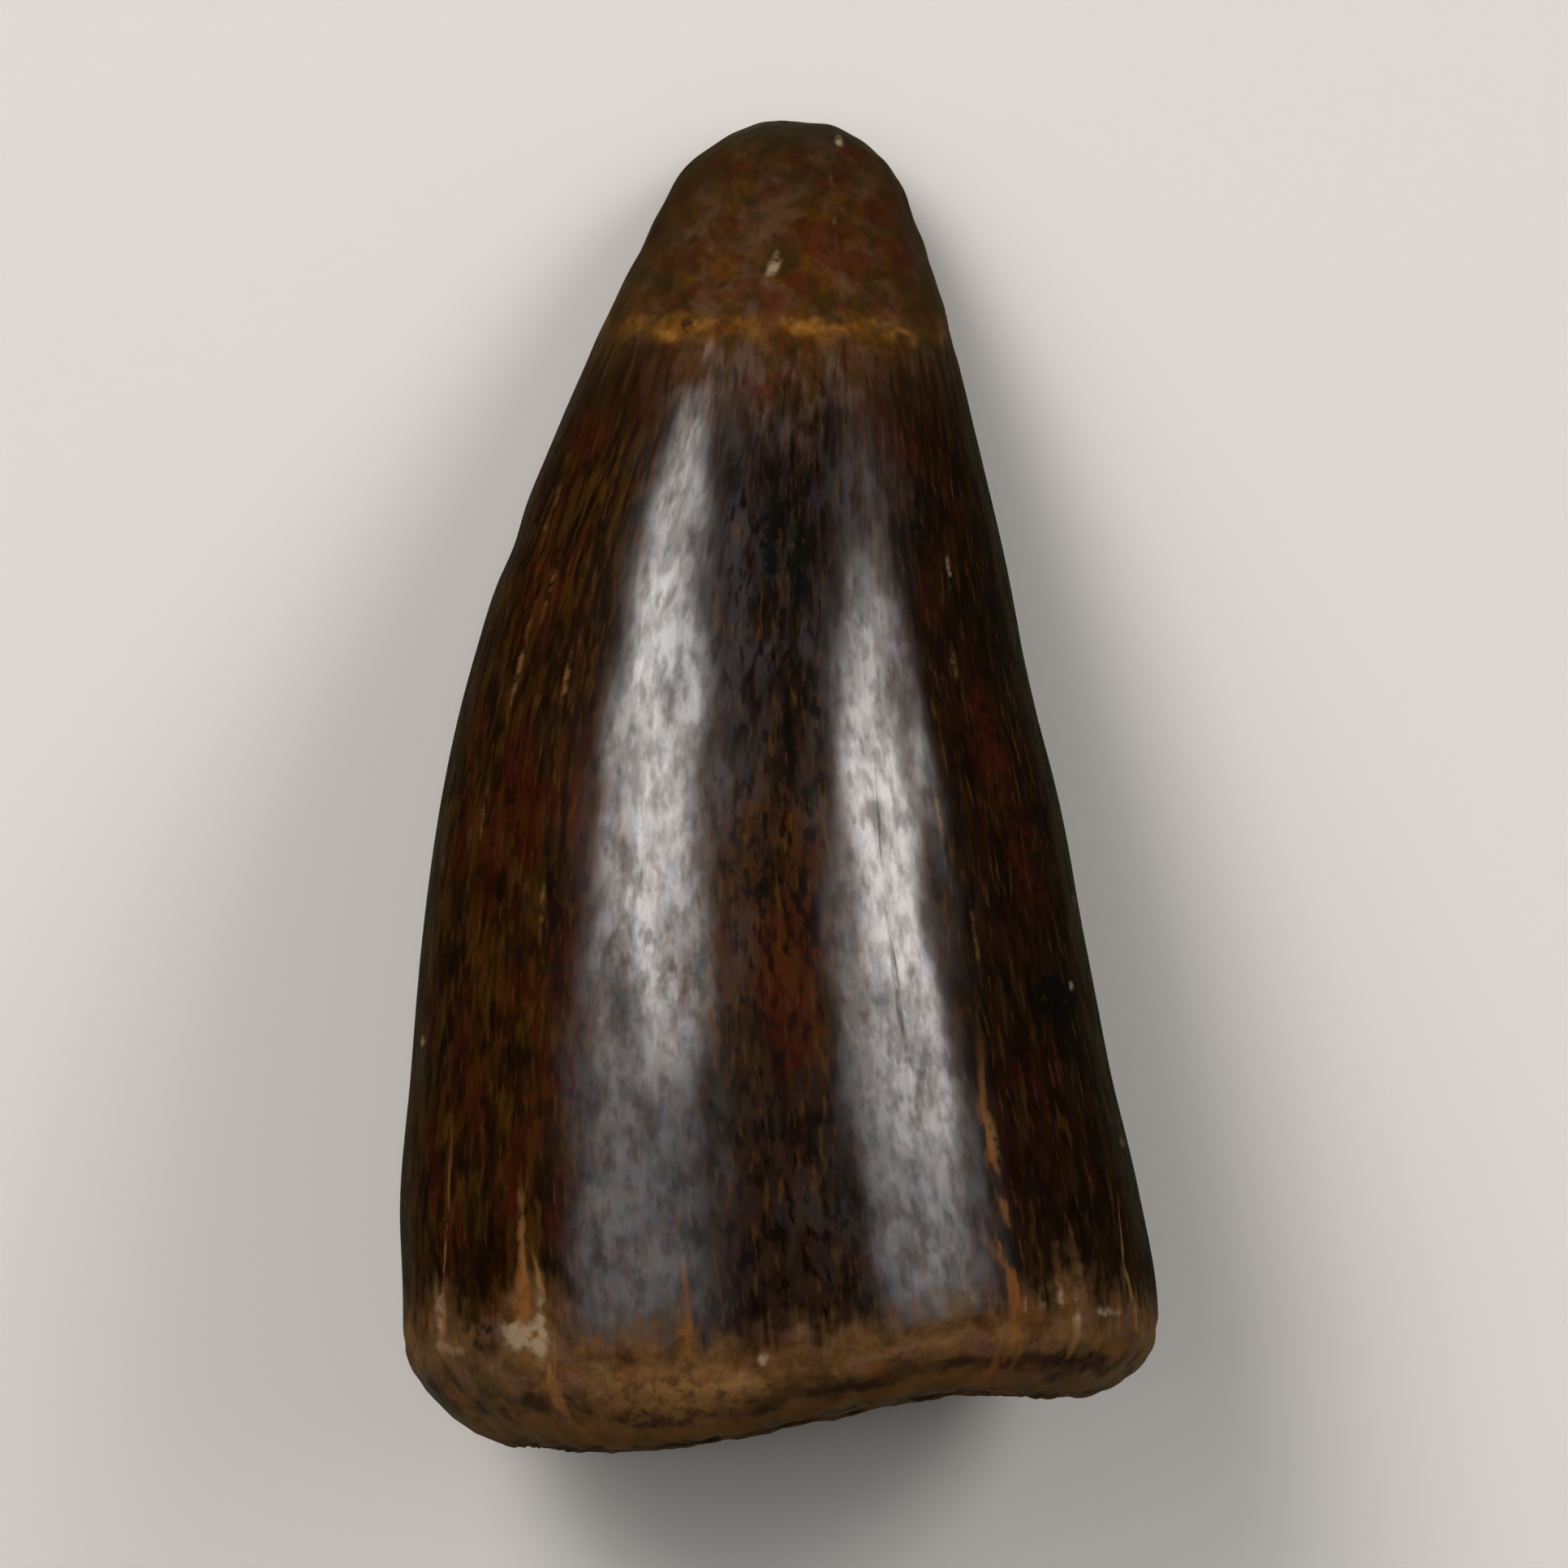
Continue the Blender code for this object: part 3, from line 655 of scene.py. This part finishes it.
# One colour over another, as much as the factor says.
def blendColour(factor, under, over):
    under, over = (paint(*colour) if isinstance(colour, tuple) else colour for colour in (under, over))
    made = addNode(factor.id_data, "ShaderNodeMix", {0: factor, 6: under, 7: over}, data_type="RGBA")
    return made.outputs[2]


# A colour over another, as much as amount says, where a value has risen from low to high.
def layRise(colour, over, amount, value, low, high):
    return blendColour(times(rise(value, low, high), amount), colour, over)


# The three parts of a vector.
def split(vector):
    return addNode(vector.id_data, "ShaderNodeSeparateXYZ", {0: vector}).outputs


# A field stored on the mesh: its value, or its vector.
def stored(tree, name, output="Fac"):
    return addNode(tree, "ShaderNodeAttribute", attribute_name=name).outputs[output]


# An empty node group with its named inputs, vectors where no value is given, and its outputs.
def newGroup(name, inputs, outputs):
    group = bpy.data.node_groups.new(name, "ShaderNodeTree")
    for label, value in inputs.items():
        kind = "NodeSocketVector" if value is None else "NodeSocketFloat"
        socket = group.interface.new_socket(name=label, in_out="INPUT", socket_type=kind)
        if value is not None:
            socket.default_value = value
    for label in outputs:
        group.interface.new_socket(name=label, in_out="OUTPUT", socket_type="NodeSocketFloat")
    return group, group.nodes.new("NodeGroupInput").outputs, group.nodes.new("NodeGroupOutput").inputs


# Grain: noise on a place stretched along the tooth, cut to a mask between low and high.
def makeGrainGroup():
    group, given, wanted = newGroup("grainMask", {
        "Place": None, "Across": 1.0, "Along": 1.0, "Detail": 3.0, "Low": 0.3, "High": 0.7, "Shift": 0.0,
    }, ["Mask"])
    across = given["Across"]
    scale = addNode(group, "ShaderNodeCombineXYZ", {0: across, 1: across, 2: given["Along"]}).outputs[0]
    moved = given["Place"]
    for operation, value in (("MULTIPLY", scale), ("ADD", given["Shift"])):
        moved = addNode(group, "ShaderNodeVectorMath", {0: moved, 1: value}, operation=operation).outputs[0]
    noise = addNode(group, "ShaderNodeTexNoise", {
        "Vector": moved, "Scale": 1.0, "Detail": given["Detail"], "Roughness": 0.58,
    })
    mask = rise(noise.outputs["Fac"], given["Low"], given["High"])
    group.links.new(mask, wanted["Mask"])
    return group


# A crack: full where the wandering distance from its line is nothing, none at its patchy width, times its
# strength.
def makeCrackGroup():
    group, given, wanted = newGroup("crackLine", {
        "Crack": None, "Width": 0.1, "Ragged": 0.1, "Wander": 0.0, "Patchy": 0.5,
    }, ["Mask", "Pale"])
    parts = split(given["Crack"])
    moved = plus(parts[0], times(given["Wander"], given["Ragged"]))
    width = times(given["Width"], given["Patchy"], 2.0)
    line = rise(sums("ABSOLUTE", moved), width, 0.0)
    filled = times(parts[1], rise(given["Patchy"], 0.34, 0.56))
    group.links.new(times(line, filled), wanted["Mask"])
    group.links.new(parts[2], wanted["Pale"])
    return group


# Places a node group in a tree with its own values, and gives its outputs.
def place(tree, group, inputs):
    return addNode(tree, "ShaderNodeGroup", inputs, node_tree=group).outputs


# A grain mask: so many grains a millimetre across and along, cut between low and high.
def grainMask(where, across, along, low=0.0, high=1.0, detail=3.0, shift=0.0):
    return place(where.id_data, groups["grain"], {
        "Place": where, "Across": across, "Along": along, "Detail": detail, "Low": low, "High": high,
        "Shift": shift,
    })["Mask"]


# A new material with its Principled shader.
def newMaterial(name):
    material = bpy.data.materials.new(name)
    material.use_nodes = True
    return material, material.node_tree, material.node_tree.nodes["Principled BSDF"]


# Grain about nothing: a grain mask less a half, times a size.
def wobble(size, where, across, along, detail, shift):
    return times(sums("SUBTRACT", grainMask(where, across, along, detail=detail, shift=shift), 0.5), size)


# What the finish reads: places in millimetres on the tooth and along its grain, and the fields.
def readSurface(tree):
    grain = stored(tree, "grain", "Vector")
    onTooth = addNode(tree, "ShaderNodeTexCoord").outputs["Object"]
    spot = addNode(tree, "ShaderNodeVectorMath", {0: onTooth, "Scale": 1 / mm}, operation="SCALE").outputs[0]
    height = split(grain)[2]
    fringe = wobble(1.3, grain, 4.0, 0.7, 2.0, 21.0)
    blotches = wobble(1.3, spot, 1.6, 1.6, 2.0, 23.0)
    return {
        "grain": grain, "spot": spot, "height": height,
        "raggedHeight": plus(height, wobble(2.6, grain, 2.2, 0.5, 2.0, 11.0)),
        "border": plus(stored(tree, "aboveBorder"), fringe, blotches),
        "zone": stored(tree, "zone"), "scuffed": stored(tree, "scuffed"), "flank": stored(tree, "flank"),
    }


# Patches of a look's colours over a colour, a row each: the tone, its amount or the mask that gives it, and
# its grain mask's values.
def layPatches(colour, look, where, rows, masks={}):
    for tone, amount, *grain in rows:
        patches = times(grainMask(where, *grain), masks.get(amount, amount))
        colour = blendColour(patches, colour, look[tone])
    return colour


enamel = {
    "dark": (28, 12, 1), "warm": (56, 32, 2), "red": (52, 13, 1), "nearBlack": (9, 4, 1),
    # The haze colour is a painted grey reflection sheen, not a tone of the enamel.
    "purple": (19, 12, 9), "amber": (58, 31, 8), "umber": (32, 21, 13), "paintedSheen": (60, 58, 60),
    # The edge colour is a painted greenish rim sheen for the outline.
    "fibre": (84, 54, 14), "edge": (56, 47, 27),
    "brown": (58, 39, 17), "rust": (70, 32, 12), "mauve": (82, 64, 54),
    "redPatches": [("red", 0.75, 1.1, 0.4, 0.48, 0.62, 3.0, 7.0)],
    # tone, amount, and the heights where it starts and is full
    "middleTones": [("umber", 0.75, 11.0, 8.5), ("amber", 0.5, 9.0, 12.0), ("purple", 0.85, 14.5, 19.0)],
    "patches": [
        ("nearBlack", 0.6, 2.2, 1.0, 0.48, 0.62, 2.0, 9.0), ("paintedSheen", "paintedSheenAmount", 1.8, 0.8, 0.38, 0.66, 2.0, 61.0),
        ("nearBlack", "specked", 4.0, 1.6, 0.48, 0.64, 2.0, 3.0),
        ("fibre", 0.4, 5.5, 1.2, 0.54, 0.72, 2.0, 5.0),
    ],
    "brownPatches": [
        ("rust", 0.7, 1.7, 1.1, 0.44, 0.66, 2.0, 25.0), ("mauve", 0.85, 1.2, 0.9, 0.44, 0.62, 3.0, 63.0),
        ("dark", 0.8, 3.0, 1.5, 0.46, 0.66, 2.0, 27.0),
    ],
}


# Polished enamel: brown and maroon patches along the grain, umber, amber and purplish up its middle, dark
# blotches, a painted grey reflection sheen, ochre fibres, a paler brown under the band, a painted greenish
# rim sheen at the outline.
def enamelColour(tree, at):
    look, grain = enamel, at["grain"]
    colour = blendColour(grainMask(grain, 2.2, 0.7, 0.4, 0.6, detail=2.0), look["dark"], look["warm"])
    colour = layPatches(colour, look, grain, look["redPatches"])
    middle = rise(at["flank"], 1.0, 0.1)
    for tone, amount, low, high in look["middleTones"]:
        colour = layRise(colour, look[tone], times(middle, amount), at["raggedHeight"], low, high)
    colour = layRise(colour, look["nearBlack"], 0.6, split(grain)[0], 3.2, 5.4)
    # Painted sheen: a grey reflection painted up the middle of the outer face, stronger on the sheen marks.
    paintedSheenAmount = plus(times(middle, rise(at["height"], 12.0, 18.0), 0.2),
                times(stored(tree, "paintedSheenMark"), 0.7))
    colour = layPatches(colour, look, grain, look["patches"], {
        "paintedSheenAmount": paintedSheenAmount, "specked": times(plus(middle, 0.8), 0.5),
    })
    brown = layPatches(look["brown"], look, grain, look["brownPatches"])
    brown = layRise(brown, look["dark"], 0.85, at["flank"], 0.4, 1.4)
    colour = layRise(colour, brown, 0.95, at["raggedHeight"], 23.7, 26.0)
    # Painted rim sheen: a mottled greenish glow painted along the outline, where grazing light would catch
    # the enamel.
    rimSheenMottle = grainMask(grain, 1.4, 0.6, 0.36, 0.6, detail=3.0, shift=59.0)
    return layRise(colour, look["edge"], times(rimSheenMottle, 0.65), at["flank"], 1.978, 1.999)


wornTip = {
    "brown": (52, 32, 7), "ochre": (76, 46, 9), "rust": (68, 24, 7), "mauve": (80, 56, 38),
    "olive": (42, 32, 8), "dark": (28, 17, 4), "top": (34, 32, 20),
    "patches": [
        ("mauve", 0.7, 1.0, 0.7, 0.43, 0.63, 3.0, 6.0), ("rust", 0.7, 1.4, 1.0, 0.45, 0.64, 3.0, 4.0),
        ("olive", 0.6, 1.4, 1.1, 0.46, 0.66, 3.0, 9.0), ("dark", 0.4, 3.2, 2.6, 0.46, 0.68, 2.0, 13.0),
    ],
    "band": (100, 62, 15), "bandPale": (142, 98, 44), "bandHeight": 26.92, "bandReach": 0.56,
    "bandPatches": [("bandPale", 0.7, 1.6, 1.2, 0.4, 0.68, 2.0, 35.0)],
}


# The worn matt tip: mottled brown, darker at the outline and greyer at the top, over an uneven ochre growth
# band.
def tipColour(tree, at):
    look, spot = wornTip, at["spot"]
    colour = blendColour(grainMask(spot, 1.6, 1.3, 0.36, 0.64, detail=2.0), look["brown"], look["ochre"])
    colour = layPatches(colour, look, spot, look["patches"])
    colour = layRise(colour, look["olive"], 0.5, at["flank"], 1.2, 2.0)
    colour = layRise(colour, look["dark"], 0.4, at["height"], 28.0, 31.4)
    colour = layRise(colour, look["top"], 0.7, at["height"], 31.0, 31.9)
    away = plus(at["height"], -look["bandHeight"], wobble(0.9, spot, 1.4, 1.4, 3.0, 31.0))
    band = rise(sums("ABSOLUTE", away), look["bandReach"], 0.0)
    uneven = plus(0.3, times(grainMask(spot, 1.0, 0.6, 0.34, 0.58, shift=33.0), 0.7))
    band = times(band, uneven, rise(at["flank"], 3.2, 1.0))
    bandColour = layPatches(look["band"], look, spot, look["bandPatches"])
    return colour, blendColour(band, colour, bandColour), band


bareDentine = {
    "tan": (100, 72, 42), "brown": (76, 51, 26), "ochre": (104, 70, 30), "pink": (100, 68, 52),
    "orange": (112, 64, 28), "stain": (42, 27, 14), "olive": (68, 54, 28),
    "patches": [
        ("olive", 0.6, 0.8, 0.8, 0.5, 0.68, 3.0, 18.0), ("ochre", 0.75, 1.0, 1.0, 0.5, 0.66, 3.0, 5.0),
        ("pink", 0.65, 1.1, 1.1, 0.52, 0.66, 3.0, 8.0), ("orange", 0.6, 1.4, 1.4, 0.58, 0.7, 3.0, 3.0),
        ("stain", 0.3, 4.5, 4.0, 0.48, 0.72, 2.0, 28.0),
    ],
    "lipLine": (44, 25, 15), "lip": (112, 74, 28),
    "broken": (112, 80, 44), "brokenDark": (56, 37, 20), "sediment": (88, 70, 46),
    "sedimentDark": (38, 28, 18), "growthRings": 7,
}


# Bare dentine: mottled tan, a dark line and an ochre lip at the rim, growth lines on the broken base,
# gritty sediment in the cavity.
def dentineColour(tree, at):
    look, spot = bareDentine, at["spot"]
    colour = blendColour(grainMask(spot, 1.3, 1.3, 0.36, 0.62, detail=3.0), look["brown"], look["tan"])
    colour = layPatches(colour, look, spot, look["patches"])
    down = plus(at["zone"], wobble(0.5, spot, 0.8, 0.8, 3.0, 2.0))
    line = times(rise(down, 0.58, 0.44), grainMask(spot, 0.5, 0.5, 0.36, 0.56, shift=6.0), 0.8)
    colour = layRise(colour, look["lipLine"], line, down, 0.22, 0.36)
    colour = layRise(colour, look["lip"], times(rise(down, 1.05, 0.85), 0.5), down, 0.5, 0.62)
    rings = sums("SINE", times(down, 2 * math.pi * look["growthRings"]))
    broken = blendColour(grainMask(spot, 1.4, 1.4, 0.38, 0.62, detail=3.0, shift=1.0),
                         look["brokenDark"], look["broken"])
    broken = layRise(broken, look["brokenDark"], 0.4, rings, 0.0, 1.0)
    colour = blendColour(rise(down, 0.9, 1.15), colour, broken)
    grit = grainMask(spot, 3.5, 3.5, 0.4, 0.62, detail=2.0, shift=12.0)
    sediment = blendColour(grit, look["sedimentDark"], look["sediment"])
    return blendColour(rise(down, 1.95, 2.25), colour, sediment)


fillings = {
    "crackTan": (120, 70, 24), "crackPale": (166, 130, 82), "hairline": (50, 34, 26),
    "darkMark": (5, 6, 3), "redMark": (60, 15, 4), "paleMarkAndHighlight": (150, 132, 104),
    "tanMark": (128, 92, 50),
}


# The cracks' fillings over a colour, tan to pale, the hairline dark, and all the cracks' mask.
def layCracks(tree, at, colour):
    every = 0.0
    wander = wobble(1.0, at["grain"], 3.0, 0.9, 2.0, 0.0)
    patchy = grainMask(at["grain"], 2.6, 0.8, detail=3.0, shift=71.0)
    for name, crack in toothCracks.items():
        line = place(tree, groups["crack"], {
            "Crack": stored(tree, name, "Vector"), "Width": crack["width"], "Ragged": crack["width"] * 1.8,
            "Wander": wander, "Patchy": patchy,
        })
        if crack.get("special") == "dark":
            filling = fillings["hairline"]
        else:
            filling = blendColour(line["Pale"], fillings["crackTan"], fillings["crackPale"])
        colour = blendColour(line["Mask"], colour, filling)
        every = sums("MAXIMUM", line["Mask"], every)
    return colour, every


# Marks over a colour, each kind's soft field made ragged by fine noise.
def layMarks(tree, at, colour, kinds):
    ragged = grainMask(at["spot"], 3.2, 2.4, 0.25, 0.7, detail=2.0, shift=2.0)
    ragged = plus(0.15, times(ragged, 1.5))
    for kind, amount in kinds.items():
        colour = layRise(colour, fillings[kind], amount, times(stored(tree, kind), ragged), 0.08, 0.85)
    return colour


gloss = {
    "enamel": 0.22, "scuffed": 0.12, "patchy": 0.15, "tip": 0.55, "dentine": 0.6, "cracked": 0.3,
    # each clouding of the polish: grains a millimetre across and along, how much it takes, and its shift
    "clouds": [(2.6, 0.6, 0.25, 51.0), (1.3, 0.8, 0.42, 53.0), (3.2, 1.6, 0.4, 67.0)],
    "striae": 0.0024, "scuffs": 0.006, "tipGrain": 0.02, "dentineGrain": 0.045,
    "everywhere": {
        "IOR": 1.6, "Specular IOR Level": 0.02, "Coat IOR": 1.8, "Coat Roughness": 0.17,
        "Sheen Weight": 0.1, "Sheen Roughness": 0.3, "Sheen Tint": (196, 206, 170),
    },
}


# Relief finer than the mesh: striae and scuffs on the enamel, grain on the tip and the dentine.
def fineBump(tree, at):
    striae = grainMask(at["grain"], 5.0, 0.5, detail=2.0, shift=17.0)
    striae = times(striae, plus(gloss["striae"], times(at["scuffed"], gloss["scuffs"])))
    rough = grainMask(at["spot"], 2.9, 2.9, detail=3.0, shift=37.0)
    tip = times(rise(at["height"], 24.0, 26.6), gloss["tipGrain"])
    bare = times(rise(stored(tree, "aboveBorder"), 0.5, -0.3), gloss["dentineGrain"])
    relief = plus(striae, times(rough, plus(tip, bare)))
    return addNode(tree, "ShaderNodeBump", {"Height": relief, "Strength": 1.0, "Distance": mm}).outputs[0]


# The whole finish: enamel over dentine with a ragged border, the worn tip, marks and cracks, and polish on
# the enamel alone.
def makeFinish():
    material, tree, shader = newMaterial("fossilEnamel")
    at = readSurface(tree)
    plainTip, bandedTip, band = tipColour(tree, at)
    colour = blendColour(rise(at["raggedHeight"], 25.4, 27.0), enamelColour(tree, at), plainTip)
    colour = blendColour(band, colour, bandedTip)
    onEnamel = rise(at["border"], -0.4, 1.1)
    colour = blendColour(onEnamel, dentineColour(tree, at), colour)
    colour = layMarks(tree, at, colour, {"redMark": 0.6, "darkMark": 0.9, "tanMark": 0.6, "paleMarkAndHighlight": 0.75})
    colour, cracked = layCracks(tree, at, colour)

    tipMatt = rise(at["raggedHeight"], 23.9, 26.6)
    patchy = grainMask(at["grain"], 3.0, 1.0, 0.3, 0.7, detail=2.0, shift=47.0)
    patchy = times(patchy, gloss["patchy"])
    roughness = plus(gloss["enamel"], times(at["scuffed"], gloss["scuffed"]), patchy)
    for mask, level in ((tipMatt, gloss["tip"]), (rest(onEnamel), gloss["dentine"])):
        toward = sums("SUBTRACT", plus(level, patchy), roughness)
        roughness = plus(roughness, times(mask, toward))
    roughness = plus(roughness, times(cracked, gloss["cracked"]))

    polish = times(rise(at["border"], -0.5, 1.2), rest(tipMatt))
    for across, along, depth, shift in gloss["clouds"]:
        cloud = grainMask(at["grain"], across, along, 0.34, 0.58, detail=3.0, shift=shift)
        polish = times(polish, plus(1.0 - depth, times(cloud, depth)))
    pits = times(grainMask(at["grain"], 3.0, 1.6, 0.46, 0.64, detail=2.0, shift=29.0),
                 stored(tree, "pitted"))
    for mask, lost in ((pits, 0.5), (cracked, 0.8)):
        polish = times(polish, rest(times(mask, lost)))

    made = {"Base Color": colour, "Roughness": roughness, "Coat Weight": polish, "Normal": fineBump(tree, at)}
    for name, socket in made.items():
        tree.links.new(socket, shader.inputs[name])
    for name, value in gloss["everywhere"].items():
        shader.inputs[name].default_value = paint(*value) if isinstance(value, tuple) else value
    return material


floorLook = {"size": 3.0, "drop": 0.02, "pale": (226, 223, 218), "roughness": 0.8}


# The floor: one wide pale sheet just under the tooth.
def makeFloor():
    half = floorLook["size"] / 2
    level = -floorLook["drop"] * mm
    mesh = bpy.data.meshes.new("studioFloor")
    corners = [(-half, -half, level), (half, -half, level), (half, half, level), (-half, half, level)]
    mesh.from_pydata(corners, [], [(0, 1, 2, 3)])
    floor = addToScene("studioFloor", mesh)
    material, _, shader = newMaterial("paleFloor")
    shader.inputs["Base Color"].default_value = paint(*floorLook["pale"])
    shader.inputs["Roughness"].default_value = floorLook["roughness"]
    mesh.materials.append(material)
    floor.visible_glossy = False    # the polished enamel would mirror it


# Each softbox is given by what mirrors it to the camera: faces whose slopes along X and Y lie in these
# ranges. Then its radiance and tint, the four shares of its width and of its length where its light starts,
# is full, starts to fall and ends, and how its rise and fall across lean above a share of its length.
softboxColumns = ("slopeX", "slopeY", "radiance", "tint", "across", "along", "lean", "leanFrom")
studio = {
    "target": (0.0, 0.0, 0.010), "distance": 1.2,
    "softboxes": {
        "softboxLeft": ((-0.50, -0.02), (0.14, 0.72), 7.4, (1.0, 0.965, 0.94),
                        (0.25, 0.42, 0.62, 0.95), (0.0, 0.12, 0.75, 0.96), (0.5, 0.72), 0.45),
        "softboxLeftSide": ((-0.56, -0.26), (0.14, 0.60), 4.4, (1.0, 0.965, 0.94),
                            (0.08, 0.45, 0.65, 1.0), (0.0, 0.25, 0.5, 0.95)),
        "softboxLeftLow": ((-0.62, -0.06), (-0.14, 0.24), 1.2, (0.96, 0.97, 1.0),
                           (0.0, 0.3, 0.65, 1.0), (0.0, 0.3, 0.7, 1.0)),
        "softboxRight": ((0.14, 0.70), (0.14, 0.56), 8.4, (1.0, 0.955, 0.93),
                         (0.1, 0.3, 0.58, 0.8), (0.02, 0.32, 0.5, 0.92), (-0.3, 0.02), 0.2),
        "softboxRightLow": ((0.16, 0.68), (-0.16, 0.27), 2.4, (0.97, 0.98, 1.0),
                            (0.05, 0.3, 0.4, 1.0), (0.0, 0.65, 0.8, 1.0)),
    },
    "overhead": {"size": 1.6, "height": 1.3, "radiance": 0.39, "tint": (1.0, 0.985, 0.96)},
    "worldGlow": (10, 10, 10), "worldSeen": (204, 202, 198),
    "lens": 800.0, "sensor": 36.0, "frameWidth": 37.58 * mm, "silhouetteLevel": 6.0 * mm,
    "frameCentre": (0.136 * mm, 0.01 * mm), "clip": (0.01, 10.0),
}


# Where a face of slopes (a, b) mirrors a line of sight straight down: (2a, 2b, 1 - aa - bb) over (1 + aa +
# bb).
def mirrored(a, b):
    return Vector((2 * a, 2 * b, 1 - a * a - b * b)) / (1 + a * a + b * b)


# Fades a softbox's light towards its edges: a smooth rise and fall across it times one along it.
def featherLight(light, box):
    light.use_nodes = True
    tree = light.node_tree
    where = addNode(tree, "ShaderNodeNewGeometry").outputs["Parametric"]
    across, along, _ = split(where)
    above = sums("MAXIMUM", plus(along, -box.get("leanFrom", 0.0)), 0.0)
    rising, falling = (plus(across, times(above, lean)) for lean in box.get("lean", (0.0, 0.0)))
    strength = 1.0
    for first, second, limits in ((rising, falling, box["across"]), (along, along, box["along"])):
        starts, full, falls, ends = limits
        strength = times(strength, rise(first, starts, full), rise(second, ends, falls))
    tree.links.new(strength, tree.nodes["Emission"].inputs["Strength"])


# An area light of a radiance and a tint, so wide and long, that the camera doesn't see.
def addAreaLight(name, look, wide, long):
    light = bpy.data.lights.new(name, "AREA")
    light.shape = "RECTANGLE"
    light.size, light.size_y = wide, long
    light.energy = look["radiance"] * math.pi * wide * long
    light.color = look["tint"]
    lamp = addToScene(name, light)
    lamp.visible_camera = False
    return lamp


# One softbox at the studio's distance, square on to the tooth, as wide and long as its slopes ask.
def addSoftbox(name, box):
    (lowX, highX), (lowY, highY) = box["slopeX"], box["slopeY"]
    midX, midY = (lowX + highX) / 2, (lowY + highY) / 2
    away = mirrored(midX, midY)

    def onPlane(a, b):
        direction = mirrored(a, b)
        return direction * (studio["distance"] / direction.dot(away))

    along = onPlane(midX, highY) - onPlane(midX, lowY)
    lamp = addAreaLight(name, box, (onPlane(highX, midY) - onPlane(lowX, midY)).length, along.length)
    featherLight(lamp.data, box)
    upward = along.normalized()
    turn = Matrix((upward.cross(away), upward, away)).transposed().to_4x4()
    turn.translation = Vector(studio["target"]) + (onPlane(midX, highY) + onPlane(midX, lowY)) / 2
    lamp.matrix_world = turn


# A wide soft light straight overhead, which the glossy surfaces don't mirror.
def addOverhead():
    overhead = studio["overhead"]
    lamp = addAreaLight("overheadFill", overhead, overhead["size"], overhead["size"])
    lamp.location = (0, 0, overhead["height"])
    lamp.visible_glossy = False


# A dim glow for what the surfaces mirror, and a pale one where the camera looks past the floor.
def makeWorld():
    world = bpy.data.worlds.new("studioWorld")
    world.use_nodes = True
    tree = world.node_tree
    seen = addNode(tree, "ShaderNodeLightPath").outputs["Is Camera Ray"]
    colour = blendColour(seen, studio["worldGlow"], studio["worldSeen"])
    tree.links.new(colour, tree.nodes["Background"].inputs["Color"])
    bpy.context.scene.world = world


# Looks straight down, its frame as wide as the photograph's at the tooth's widest level.
def makeCamera():
    lens = bpy.data.cameras.new("studioCamera")
    lens.lens, lens.sensor_width = studio["lens"], studio["sensor"]
    distance = studio["frameWidth"] * studio["lens"] / studio["sensor"]
    lens.clip_start, lens.clip_end = studio["clip"]
    camera = addToScene("studioCamera", lens)
    camera.location = (*studio["frameCentre"], studio["silhouetteLevel"] + distance)
    bpy.context.scene.camera = camera


groups = {"grain": makeGrainGroup(), "crack": makeCrackGroup()}
print("shader groups made")
tooth = makeTooth()
tooth.data.materials.append(makeFinish())
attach(tooth, "root")
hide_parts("tooth")
print("enamel and dentine finished")

makeFloor()
for boxName, row in studio["softboxes"].items():
    addSoftbox(boxName, dict(zip(softboxColumns, row)))
addOverhead()
makeWorld()
makeCamera()
bpy.context.scene.view_settings.view_transform = "Standard"
print("studio ready")
